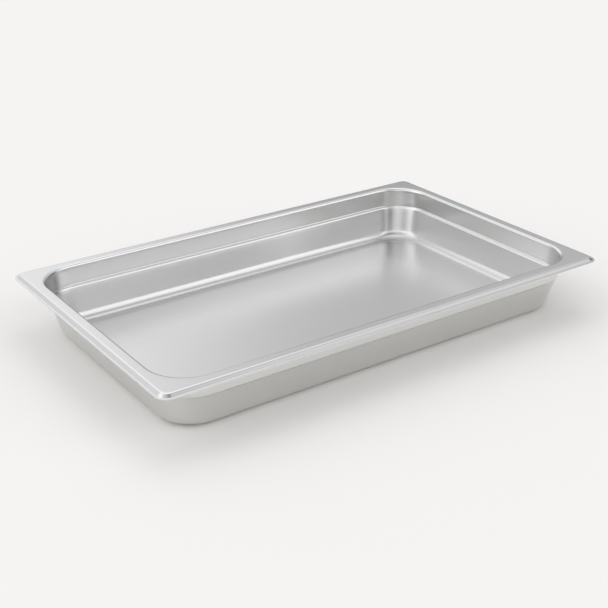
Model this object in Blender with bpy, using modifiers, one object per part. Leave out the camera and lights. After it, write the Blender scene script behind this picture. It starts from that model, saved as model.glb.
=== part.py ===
"""A full-size deli food pan, of the kind that hangs by its rim in a serving counter's well. It is one sheet of
stainless steel, deep-drawn in one piece. Metres, +Z up, origin at the centre of the underside, +X along the
long side.

Its section runs from the trimmed edge of the lip, up a sloping band and over the flat rim, down the upper wall
to the stacking shoulder, and down the tapered lower wall to the floor. The pan is that section carried round a
rounded rectangle whose corner radius changes from the lip to the floor. No primitive or modifier makes a loft
between unlike sections, so one quarter of it is built here face by face. Mirror makes the other three quarters,
and Solidify gives the sheet its thickness."""

import math

import bmesh
import bpy
import numpy as np

NAME = "pan"

# Driving dimensions, in metres.
LENGTH = 0.527  # over the lip, 20 3/4 in
WIDTH = 0.324  # over the lip, 12 3/4 in
HEIGHT = 0.060  # from the underside to the top of the rim
SHEET = 0.0008  # 22 gauge

# The section, on the upper surface. Insets run inward from the lip's edge, levels upward from the underside.
LIP_LEVEL = HEIGHT - 0.0031
LIP_INNER_INSET = 0.0019
RIM_OUTER_INSET = 0.0053
RIM_INNER_INSET = 0.0171
SHOULDER_TOP_INSET = 0.0176
SHOULDER_TOP_LEVEL = 0.0380
SHOULDER_FOOT_INSET = 0.0205
SHOULDER_FOOT_LEVEL = 0.0364
WALL_FOOT_INSET = 0.0288  # where the lower wall's plane would meet the floor

# The section's bends, as radii on the upper surface.
LIP_BEND = 0.0015
RIM_OUTER_BEND = 0.0030
RIM_INNER_BEND = 0.0030
SHOULDER_TOP_BEND = 0.0016
SHOULDER_FOOT_BEND = 0.0024
FLOOR_BEND = 0.0112

# Where the floor's bend begins on the lower wall and ends on the flat floor.
WALL_END_INSET = WALL_FOOT_INSET - 0.0018
FLOOR_EDGE_INSET = WALL_FOOT_INSET + 0.0092

# The corners' radii in plan, each at the inset where the section has it.
CORNER_RADII = (
    (0.0, 0.0124),
    (RIM_OUTER_INSET, 0.0071),
    (RIM_INNER_INSET - RIM_INNER_BEND, 0.0416),
    (RIM_INNER_INSET, 0.0410),
    (SHOULDER_TOP_INSET, 0.0427),
    (SHOULDER_FOOT_INSET, 0.0353),
    (WALL_END_INSET, 0.0345),
    (FLOOR_EDGE_INSET, 0.0372),
)

# How many flat faces go round each bend of the section, and round each corner in plan.
SMALL_BEND_STEPS = 3
RIM_INNER_BEND_STEPS = 5
FLOOR_BEND_STEPS = 7
CORNER_STEPS = 9

STEEL_COLOUR = (0.62, 0.62, 0.60, 1.0)
STEEL_ROUGHNESS = 0.32
SHARP_ANGLE = math.radians(40)
MERGE_DISTANCE = 0.00001


def clear_scene():
    for obj in list(bpy.data.objects):
        bpy.data.objects.remove(obj, do_unlink=True)


def bend(before, corner, after, radius, steps):
    """Points of the arc that rounds one corner of the section."""
    corner = np.array(corner)
    back = np.array(before) - corner
    ahead = np.array(after) - corner
    back /= np.linalg.norm(back)
    ahead /= np.linalg.norm(ahead)
    half_angle = math.acos(float(back @ ahead)) / 2
    bisector = (back + ahead) / np.linalg.norm(back + ahead)
    centre = corner + bisector * radius / math.sin(half_angle)
    first = corner + back * radius / math.tan(half_angle) - centre
    last = corner + ahead * radius / math.tan(half_angle) - centre
    turn = math.pi - 2 * half_angle
    points = []
    for share in np.linspace(0, 1, steps + 1):
        spoke = math.sin((1 - share) * turn) * first + math.sin(share * turn) * last
        points.append(centre + spoke / math.sin(turn))
    return points


def section():
    """(inset, level) along the upper surface, from the lip's edge to the edge of the flat floor."""
    corners = (
        (0.0, LIP_LEVEL, 0, 0),
        (LIP_INNER_INSET, LIP_LEVEL, LIP_BEND, SMALL_BEND_STEPS),
        (RIM_OUTER_INSET, HEIGHT, RIM_OUTER_BEND, SMALL_BEND_STEPS),
        (RIM_INNER_INSET, HEIGHT, RIM_INNER_BEND, RIM_INNER_BEND_STEPS),
        (SHOULDER_TOP_INSET, SHOULDER_TOP_LEVEL, SHOULDER_TOP_BEND, SMALL_BEND_STEPS),
        (SHOULDER_FOOT_INSET, SHOULDER_FOOT_LEVEL, SHOULDER_FOOT_BEND, SMALL_BEND_STEPS),
        (WALL_FOOT_INSET, SHEET, FLOOR_BEND, FLOOR_BEND_STEPS),
        (LENGTH / 2, SHEET, 0, 0),
    )
    points = [np.array(corners[0][:2])]
    for before, here, after in zip(corners, corners[1:], corners[2:]):
        points += bend(before[:2], here[:2], after[:2], here[2], here[3])
    return points


def quarter_ring(inset, level):
    """The section's point carried from the middle of the long side, round one corner, to the middle of the end."""
    half_length = LENGTH / 2 - inset
    half_width = WIDTH / 2 - inset
    radius = np.interp(inset, *zip(*CORNER_RADII))
    ring = [(0.0, half_width, level)]
    for angle in np.linspace(math.pi / 2, 0, CORNER_STEPS + 1):
        x = half_length - radius * (1 - math.cos(angle))
        y = half_width - radius * (1 - math.sin(angle))
        ring.append((x, y, level))
    ring.append((half_length, 0.0, level))
    return ring


def quarter_mesh():
    """The upper surface of one quarter of the pan, facing up and inward, open at both mirror planes."""
    shape = bmesh.new()
    rings = [[shape.verts.new(point) for point in quarter_ring(*at)] for at in section()]
    for outer, inner in zip(rings, rings[1:]):
        for i in range(len(outer) - 1):
            shape.faces.new((outer[i], inner[i], inner[i + 1], outer[i + 1]))
    centre = shape.verts.new((0.0, 0.0, SHEET))
    shape.faces.new([centre] + rings[-1][::-1])
    mesh = bpy.data.meshes.new(NAME)
    shape.to_mesh(mesh)
    shape.free()
    mesh.shade_smooth()
    mesh.set_sharp_from_angle(angle=SHARP_ANGLE)
    return mesh


def stainless_steel():
    material = bpy.data.materials.new("stainless_steel")
    material.use_nodes = True
    shader = material.node_tree.nodes["Principled BSDF"]
    shader.inputs["Base Color"].default_value = STEEL_COLOUR
    shader.inputs["Roughness"].default_value = STEEL_ROUGHNESS
    shader.inputs["Metallic"].default_value = 1.0
    return material


def make_pan():
    mesh = quarter_mesh()
    mesh.materials.append(stainless_steel())
    pan = bpy.data.objects.new(NAME, mesh)
    mirror = pan.modifiers.new("other quarters", "MIRROR")
    mirror.use_axis = (True, True, False)
    mirror.merge_threshold = MERGE_DISTANCE
    sheet = pan.modifiers.new("sheet", "SOLIDIFY")
    sheet.thickness = SHEET
    sheet.offset = -1.0
    sheet.use_even_offset = True
    sheet.use_quality_normals = True
    return pan


def main():
    clear_scene()
    collection = bpy.data.collections.new("deli_food_pan")
    bpy.context.scene.collection.children.link(collection)
    collection.objects.link(make_pan())


main()
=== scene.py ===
"""The looks of the full-size deli food pan: a fine surface of satin stainless steel in the place of the
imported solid, on a pale floor under soft studio light. Metres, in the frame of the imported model: +Z up, the
pan's long side along X, the origin at the centre of its underside.

The fine surface is the same sheet as the solid, with smoother bends and corners, a softened cut edge and a
floor crowned by a fraction of a millimetre. It is one quarter in all four places, with the sheet's thickness
added below."""

import math

import bpy
import numpy as np
from mathutils import Matrix, Vector


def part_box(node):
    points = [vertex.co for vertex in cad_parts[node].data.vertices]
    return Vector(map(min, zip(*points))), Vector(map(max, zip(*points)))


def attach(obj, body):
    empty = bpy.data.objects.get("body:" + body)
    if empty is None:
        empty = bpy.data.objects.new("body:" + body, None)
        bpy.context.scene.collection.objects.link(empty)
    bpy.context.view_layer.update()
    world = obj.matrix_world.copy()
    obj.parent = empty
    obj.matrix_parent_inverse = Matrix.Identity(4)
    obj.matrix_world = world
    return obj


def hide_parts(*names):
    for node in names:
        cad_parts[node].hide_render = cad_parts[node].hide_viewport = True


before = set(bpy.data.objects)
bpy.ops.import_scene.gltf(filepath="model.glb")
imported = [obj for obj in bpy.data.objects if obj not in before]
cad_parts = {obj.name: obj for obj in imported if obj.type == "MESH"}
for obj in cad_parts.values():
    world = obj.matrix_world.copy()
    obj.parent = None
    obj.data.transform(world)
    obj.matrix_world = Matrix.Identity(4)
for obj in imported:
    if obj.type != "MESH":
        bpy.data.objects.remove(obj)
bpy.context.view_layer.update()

# The pan's outer size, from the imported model.
PAN_LOW, PAN_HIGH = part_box("pan")
LENGTH = PAN_HIGH.x - PAN_LOW.x
WIDTH = PAN_HIGH.y - PAN_LOW.y
HEIGHT = PAN_HIGH.z - PAN_LOW.z
SHEET = 0.0008

# The section, on the upper surface. Insets run inward from the lip's edge, levels upward from the underside.
LIP_LEVEL = HEIGHT - 0.0031
LIP_INNER_INSET = 0.0019
RIM_OUTER_INSET = 0.0053
RIM_INNER_INSET = 0.0171
SHOULDER_TOP_INSET = 0.0176
SHOULDER_TOP_LEVEL = 0.0380
SHOULDER_FOOT_INSET = 0.0205
SHOULDER_FOOT_LEVEL = 0.0364
WALL_FOOT_INSET = 0.0288  # where the lower wall's plane would meet the floor

# The section's bends, as radii on the upper surface.
LIP_BEND = 0.0015
RIM_OUTER_BEND = 0.0030
RIM_INNER_BEND = 0.0030
SHOULDER_TOP_BEND = 0.0016
SHOULDER_FOOT_BEND = 0.0024
FLOOR_BEND = 0.0112

# Where the floor's bend begins on the lower wall and ends on the flat floor.
WALL_END_INSET = WALL_FOOT_INSET - 0.0018
FLOOR_EDGE_INSET = WALL_FOOT_INSET + 0.0092

# The corners' radii in plan, each at the inset where the section has it.
CORNER_RADII = (
    (0.0, 0.0124),
    (RIM_OUTER_INSET, 0.0071),
    (RIM_INNER_INSET - RIM_INNER_BEND, 0.0416),
    (RIM_INNER_INSET, 0.0410),
    (SHOULDER_TOP_INSET, 0.0427),
    (SHOULDER_FOOT_INSET, 0.0353),
    (WALL_END_INSET, 0.0345),
    (FLOOR_EDGE_INSET, 0.0372),
)

# Faces round each bend, across each flat run of the section, and round and along the pan in plan.
SMALL_BEND_STEPS = 8
RIM_INNER_BEND_STEPS = 12
FLOOR_BEND_STEPS = 18
FLAT_STEPS = 5
CORNER_STEPS = 32
LONG_SIDE_STEPS = 20
END_STEPS = 12

FLOOR_CROWN = 0.0003  # how far the middle of the floor stands above its edge
CUT_EDGE_RADIUS = 0.0002  # how far the lip's cut edge is deburred
CUT_EDGE_STEPS = 3
CUT_EDGE_ANGLE = math.radians(60)  # only an edge that turns by more than this is deburred
WELD_DECIMALS = 7
QUARTERS = ((1, 1), (-1, 1), (-1, -1), (1, -1))  # the signs of X and Y in the pan's four quarters


def bend(before, corner, after, radius, steps):
    """Points of the arc that rounds one corner of the section."""
    corner = np.array(corner)
    back = np.array(before) - corner
    ahead = np.array(after) - corner
    back /= np.linalg.norm(back)
    ahead /= np.linalg.norm(ahead)
    half_angle = math.acos(float(back @ ahead)) / 2
    bisector = (back + ahead) / np.linalg.norm(back + ahead)
    centre = corner + bisector * radius / math.sin(half_angle)
    first = corner + back * radius / math.tan(half_angle) - centre
    last = corner + ahead * radius / math.tan(half_angle) - centre
    turn = math.pi - 2 * half_angle
    points = []
    for share in np.linspace(0, 1, steps + 1):
        spoke = math.sin((1 - share) * turn) * first + math.sin(share * turn) * last
        points.append(centre + spoke / math.sin(turn))
    return points


def section():
    """The upper surface from the lip's edge to the edge of the flat floor: rows of inset, level, and wear and
    painted light.

    Wear and painted light is 1 at the middle of a bend that stands proud, which is painted lighter as a
    painted highlight and rubbed smoother, -1 at that of a sheltered one, which is painted darker as painted
    shade and left duller, and 0 on a flat."""
    corners = (
        (0.0, LIP_LEVEL, 0, 0, 0),
        (LIP_INNER_INSET, LIP_LEVEL, LIP_BEND, SMALL_BEND_STEPS, -1),
        (RIM_OUTER_INSET, HEIGHT, RIM_OUTER_BEND, SMALL_BEND_STEPS, 1),
        (RIM_INNER_INSET, HEIGHT, RIM_INNER_BEND, RIM_INNER_BEND_STEPS, 1),
        (SHOULDER_TOP_INSET, SHOULDER_TOP_LEVEL, SHOULDER_TOP_BEND, SMALL_BEND_STEPS, -1),
        (SHOULDER_FOOT_INSET, SHOULDER_FOOT_LEVEL, SHOULDER_FOOT_BEND, SMALL_BEND_STEPS, 1),
        (WALL_FOOT_INSET, SHEET, FLOOR_BEND, FLOOR_BEND_STEPS, -1),
        (LENGTH / 2, SHEET, 0, 0, 0),
    )
    rows = [(0.0, LIP_LEVEL, 0.0)]
    for before, here, after in zip(corners, corners[1:], corners[2:]):
        arc = bend(before[:2], here[:2], after[:2], here[2], here[3])
        start = np.array(rows[-1][:2])
        for share in np.linspace(0, 1, FLAT_STEPS + 1)[1:-1]:
            rows.append((*(start + (arc[0] - start) * share), 0.0))
        # Each bend's wear and painted light: a painted highlight on a proud bend, painted shade in a sheltered
        # one.
        wear_and_painted_light = here[4] * np.sin(np.linspace(0, math.pi, len(arc)))
        rows += [(*point, bend_wear_and_light) for point, bend_wear_and_light in zip(arc, wear_and_painted_light)]
    return np.array(rows)


def quarter_loop(half_length, half_width, radius):
    """Points in plan from the middle of the long side, round one corner, to the middle of the end."""
    points = [(x, half_width) for x in np.linspace(0, half_length - radius, LONG_SIDE_STEPS + 1)]
    for angle in np.linspace(math.pi / 2, 0, CORNER_STEPS + 1)[1:]:
        x = half_length - radius * (1 - math.cos(angle))
        y = half_width - radius * (1 - math.sin(angle))
        points.append((x, y))
    points += [(half_length, y) for y in np.linspace(half_width - radius, 0, END_STEPS + 1)[1:]]
    return np.array(points)


def floor_grid(edge):
    """Points in plan of the floor inside its edge: a grid with its far corner at the middle of the arc."""
    columns = LONG_SIDE_STEPS + CORNER_STEPS // 2
    top = edge[: columns + 1]
    side = edge[columns:][::-1]
    corner = edge[columns]
    grid = np.empty((len(top), len(side), 2))
    for i, above in enumerate(top):
        for j, right in enumerate(side):
            along = above[0] / corner[0]
            up = right[1] / corner[1]
            grid[i, j, 0] = above[0] + (side[0][0] * along - above[0]) * (1 - up)
            grid[i, j, 1] = right[1] + (top[0][1] * up - right[1]) * (1 - along)
    grid[:, -1] = top
    grid[-1, :] = side
    return grid


def quads(rows, columns, start):
    """The four-sided faces of a grid of points numbered row by row from start."""
    index = np.arange(rows * columns).reshape(rows, columns) + start
    corners = (index[:-1, :-1], index[1:, :-1], index[1:, 1:], index[:-1, 1:])
    return np.stack(corners, -1).reshape(-1, 4)


def quarter():
    """One quarter of the upper surface: its points, their places on the blank, their wear and painted light,
    and its faces.

    The blank is the flat sheet before drawing. Its grain runs along X, and so down the drawn pan's ends."""
    half_length = LENGTH / 2 - FLOOR_EDGE_INSET
    half_width = WIDTH / 2 - FLOOR_EDGE_INSET
    rows = section()
    steps = np.linalg.norm(np.diff(rows[:, :2], axis=0), axis=1)
    from_floor = np.append(np.cumsum(steps[::-1])[::-1], 0.0)
    points, blank = [], []
    for (inset, level, _), out in zip(rows, from_floor):
        radius = np.interp(inset, *zip(*CORNER_RADII))
        plan = quarter_loop(LENGTH / 2 - inset, WIDTH / 2 - inset, radius)
        points.append(np.column_stack((plan, np.full(len(plan), level))))
        blank.append(quarter_loop(half_length + out, half_width + out, CORNER_RADII[-1][1] + out))
    per_row = len(plan)
    wear_and_painted_light = np.repeat(rows[:, 2], per_row)
    faces = quads(len(rows), per_row, 0)
    floor = floor_grid(points[-1][:, :2])
    flat = floor.reshape(-1, 2)
    shares = 1 - (floor / (half_length, half_width)) ** 2
    level = SHEET + FLOOR_CROWN * (shares[..., 0] * shares[..., 1]) ** 2
    level[:, -1] = level[-1, :] = SHEET
    floor_faces = quads(*floor.shape[:2], len(rows) * per_row)
    return (
        np.vstack(points + [np.column_stack((flat, level.ravel()))]),
        np.vstack(blank + [flat]),
        np.append(wear_and_painted_light, np.zeros(len(flat))),
        np.vstack((faces, floor_faces)),
    )


def surface_mesh():
    """The whole upper surface: the quarter in all four places, welded along the middle lines."""
    points, blank, wear_and_painted_light, faces = quarter()
    places, blanks, loops = [], [], []
    for x, y in QUARTERS:
        loops.append((faces if x * y > 0 else faces[:, ::-1]) + len(points) * len(places))
        places.append(points * (x, y, 1))
        blanks.append(blank * (x, y))
    places = np.round(np.vstack(places), WELD_DECIMALS) + 0.0
    places, first, weld = np.unique(places, axis=0, return_index=True, return_inverse=True)
    mesh = bpy.data.meshes.new("pan_surface")
    mesh.from_pydata(places.tolist(), [], weld.reshape(-1)[np.vstack(loops)].tolist())
    wear_and_light_of = mesh.attributes.new("wear_and_painted_light", "FLOAT", "POINT")
    wear_and_light_of.data.foreach_set("value", np.tile(wear_and_painted_light, len(QUARTERS))[first])
    corner_points = np.empty(len(mesh.loops), np.int32)
    mesh.loops.foreach_get("vertex_index", corner_points)
    layer = mesh.uv_layers.new(name="blank")
    layer.uv.foreach_set("vector", np.vstack(blanks)[first][corner_points].ravel())
    mesh.shade_smooth()
    return mesh


STEEL_TONE = 0.72  # how much light the steel gives back
STEEL_ROUGHNESS = 0.25
STEEL_WARMTH = 0.012  # how much less blue it gives back than red and green

# The finish's marks. Each scale is the marks to the metre, along the blank's X and Y or a scratch's own way.
BAND_SCALE = (6, 260)
GRAIN_SCALE = (70, 3200)
CLOUD_SCALE = (9, 13)
MOTTLE_SCALE = (70, 95)
SCRATCH_SETS = ((0.35, (11, 900)), (-0.9, (14, 1100)), (1.75, (17, 1300)))  # each set's turn and scale
NOISE_SPAN = (0.3, 0.7)  # where most of a noise's values lie
SCRATCH_SPAN = (0.76, 0.82)  # where a scratch set's noise goes from no scratch to a full one

# How far each mark carries the steel's tone and roughness, both ways but for the scratches.
TONE_SWINGS = {"bands": 0.006, "grain": 0.010, "clouds": 0.005, "mottle": 0.002}
ROUGHNESS_SWINGS = {"bands": 0.005, "clouds": 0.006, "mottle": 0.002}
SCRATCH_TONE = 0.015
SCRATCH_ROUGHNESS = 0.02
# How far the bends' painted highlight and painted shade carry the tone, and their wear the roughness.
WEAR_AND_LIGHT_SWING = 0.03

GRAIN_DEPTH = 0.000002
SCRATCH_RELIEF = -2  # a full scratch's depth, in heights of the grain
RELIEF_STRENGTH = 0.1


class Nodes:
    """A short way to write the nodes of one material."""

    def __init__(self, material):
        material.use_nodes = True
        self.tree = material.node_tree
        self.shader = self.tree.nodes["Principled BSDF"]

    def add(self, kind, inputs=None, **settings):
        node = self.tree.nodes.new("ShaderNode" + kind)
        for name, value in settings.items():
            setattr(node, name, value)
        for name, value in (inputs or {}).items():
            self.join(value, node.inputs[name])
        return node

    def join(self, value, socket):
        if isinstance(value, bpy.types.NodeSocket):
            self.tree.links.new(value, socket)
        else:
            socket.default_value = value

    def noise(self, place, scale, angle=0.0, detail=3.0):
        """Noise between 0 and 1, with `scale` marks to the metre along and across the turned grain."""
        turned = self.add("Mapping", {"Vector": place, "Rotation": (0, 0, angle), "Scale": (*scale, 1)})
        return self.add("TexNoise", {"Vector": turned.outputs[0], "Scale": 1.0, "Detail": detail}).outputs[0]

    def ranged(self, value, before, after):
        """`value` carried from the range `before` to the range `after`, and held there."""
        names = ("From Min", "From Max", "To Min", "To Max")
        limits = dict(zip(names, (*before, *after)))
        return self.add("MapRange", {"Value": value, **limits}).outputs[0]

    def swung(self, marks, swings):
        """The marks that `swings` names, each carried to as far as its swing below and above 0."""
        return [self.ranged(marks[name], NOISE_SPAN, (-far, far)) for name, far in swings.items()]

    def sum(self, *values):
        total = values[0]
        for value in values[1:]:
            total = self.add("Math", {0: total, 1: value}, operation="ADD").outputs[0]
        return total


def satin_steel():
    """Satin stainless steel: grain along the blank, soft clouds, fine scratches, proud bends painted lighter
    as a painted highlight and rubbed smoother, sheltered bends painted darker as painted shade and duller.
    """
    material = bpy.data.materials.new("satin_stainless_steel")
    nodes = Nodes(material)
    place = nodes.add("UVMap", uv_map="blank").outputs[0]
    wear_and_painted_light = nodes.add("Attribute", attribute_name="wear_and_painted_light").outputs["Fac"]

    marks = {
        "bands": nodes.noise(place, BAND_SCALE, detail=4),
        "grain": nodes.noise(place, GRAIN_SCALE, detail=3),
        "clouds": nodes.noise(place, CLOUD_SCALE, detail=2),
        "mottle": nodes.noise(place, MOTTLE_SCALE, detail=4),
    }
    scratches = []
    for angle, scale in SCRATCH_SETS:
        scored = nodes.noise(place, scale, angle, detail=1)
        scratches.append(nodes.ranged(scored, SCRATCH_SPAN, (0.0, 1.0)))
    scratch = nodes.sum(*scratches)

    tone = nodes.sum(
        *nodes.swung(marks, TONE_SWINGS),
        nodes.ranged(scratch, (0, 1), (0, SCRATCH_TONE)),
        # Painted light: proud bends lighter as a painted highlight, sheltered bends darker as painted shade.
        nodes.ranged(wear_and_painted_light, (-1, 1), (-WEAR_AND_LIGHT_SWING, WEAR_AND_LIGHT_SWING)),
        STEEL_TONE,
    )
    tint = nodes.add("CombineColor", {"Red": tone, "Green": tone, "Blue": nodes.sum(tone, -STEEL_WARMTH)})
    nodes.join(tint.outputs[0], nodes.shader.inputs["Base Color"])

    rough = nodes.sum(
        *nodes.swung(marks, ROUGHNESS_SWINGS),
        nodes.ranged(scratch, (0, 1), (0, SCRATCH_ROUGHNESS)),
        # Wear: proud bends rubbed smoother, sheltered bends duller.
        nodes.ranged(wear_and_painted_light, (-1, 1), (WEAR_AND_LIGHT_SWING, -WEAR_AND_LIGHT_SWING)),
        STEEL_ROUGHNESS,
    )
    nodes.join(rough, nodes.shader.inputs["Roughness"])

    relief = nodes.sum(marks["grain"], nodes.ranged(scratch, (0, 1), (0, SCRATCH_RELIEF)))
    depth = {"Strength": RELIEF_STRENGTH, "Distance": GRAIN_DEPTH}
    bump = nodes.add("Bump", {**depth, "Height": relief})
    nodes.join(bump.outputs[0], nodes.shader.inputs["Normal"])
    nodes.shader.inputs["Metallic"].default_value = 1.0
    return material


def make_pan():
    mesh = surface_mesh()
    mesh.materials.append(satin_steel())
    pan = bpy.data.objects.new("pan_surface", mesh)
    bpy.context.scene.collection.objects.link(pan)
    sheet = pan.modifiers.new("sheet", "SOLIDIFY")
    sheet.thickness = SHEET
    sheet.offset = -1.0
    sheet.use_even_offset = True
    sheet.use_quality_normals = True
    edge = pan.modifiers.new("deburred edge", "BEVEL")
    edge.width = CUT_EDGE_RADIUS
    edge.segments = CUT_EDGE_STEPS
    edge.limit_method = "ANGLE"
    edge.angle_limit = CUT_EDGE_ANGLE
    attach(pan, "root")
    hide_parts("pan")
    return pan


# The camera: where it looks, from which direction and how far, and its lens and sensor in millimetres.
CAMERA_TARGET = Vector((-0.0236, -0.0237, 0.030))
CAMERA_AZIMUTH = math.radians(-34.868)
CAMERA_ELEVATION = math.radians(24.766)
CAMERA_ROLL = math.radians(-0.246)
CAMERA_DISTANCE = 1.1603
CAMERA_LENS = 66.47
CAMERA_SENSOR = 36


def make_camera():
    data = bpy.data.cameras.new("camera")
    data.lens = CAMERA_LENS
    data.sensor_width = CAMERA_SENSOR
    camera = bpy.data.objects.new("camera", data)
    bpy.context.scene.collection.objects.link(camera)
    back = direction(CAMERA_AZIMUTH, CAMERA_ELEVATION)
    turn = back.to_track_quat("Z", "Y").to_matrix().to_4x4() @ Matrix.Rotation(CAMERA_ROLL, 4, "Z")
    camera.matrix_world = Matrix.Translation(CAMERA_TARGET + back * CAMERA_DISTANCE) @ turn
    bpy.context.scene.camera = camera


# The studio's soft lights, as wide patches on a dark dome round the pan: the azimuth and elevation of each
# patch's middle, the angle from there to its faded edge, all in degrees, and its brightness.
SOFT_LIGHTS = {
    "overhead": (180, 75, 45, 0.9),
    "left": (250, 25, 50, 1.4),
    "front left": (320, 35, 40, 1.1),
    "front right": (35, 25, 45, 1.4),
    "right": (125, 45, 50, 0.7),
    "back": (180, 20, 35, 1.0),
}
LIGHT_COLOUR = (1.0, 1.0, 1.03)

FLOOR_COLOUR = (0.97, 0.96, 0.925)
FLOOR_SIZE = 40  # metres, so that its edge lies near the horizon from any side


def direction(azimuth, elevation):
    """The unit vector from the pan towards a direction. Azimuth 0 is the front, -Y, and 90 the right, +X."""
    flat = math.cos(elevation)
    return Vector((math.sin(azimuth) * flat, -math.cos(azimuth) * flat, math.sin(elevation)))


def make_floor():
    bpy.ops.mesh.primitive_plane_add(size=FLOOR_SIZE, location=(0, 0, 0))
    floor = bpy.context.object
    floor.name = "floor"
    material = bpy.data.materials.new("pale_floor")
    material.use_nodes = True
    shader = material.node_tree.nodes["Principled BSDF"]
    shader.inputs["Base Color"].default_value = (*FLOOR_COLOUR, 1)
    shader.inputs["Roughness"].default_value = 1.0
    shader.inputs["Specular IOR Level"].default_value = 0.0
    floor.data.materials.append(material)


def make_studio():
    """Lights the scene from a dome that is dark but for its soft lights."""
    world = bpy.data.worlds.new("studio")
    bpy.context.scene.world = world
    world.use_nodes = True
    nodes = world.node_tree.nodes
    links = world.node_tree.links
    towards = nodes.new("ShaderNodeTexCoord").outputs["Generated"]
    total = None
    for azimuth, elevation, spread, brightness in SOFT_LIGHTS.values():
        nearness = nodes.new("ShaderNodeVectorMath")
        nearness.operation = "DOT_PRODUCT"
        nearness.inputs[1].default_value = direction(math.radians(azimuth), math.radians(elevation))
        links.new(towards, nearness.inputs[0])
        patch = nodes.new("ShaderNodeMapRange")
        patch.interpolation_type = "SMOOTHSTEP"
        patch.inputs["From Min"].default_value = math.cos(math.radians(spread))
        patch.inputs["To Max"].default_value = brightness
        links.new(nearness.outputs["Value"], patch.inputs["Value"])
        if total is None:
            total = patch.outputs[0]
            continue
        both = nodes.new("ShaderNodeMath")
        both.operation = "ADD"
        links.new(total, both.inputs[0])
        links.new(patch.outputs[0], both.inputs[1])
        total = both.outputs[0]
    links.new(total, nodes["Background"].inputs["Strength"])
    nodes["Background"].inputs["Color"].default_value = (*LIGHT_COLOUR, 1)


def main():
    bpy.context.scene.view_settings.view_transform = "Standard"
    make_pan()
    make_camera()
    make_floor()
    make_studio()


main()
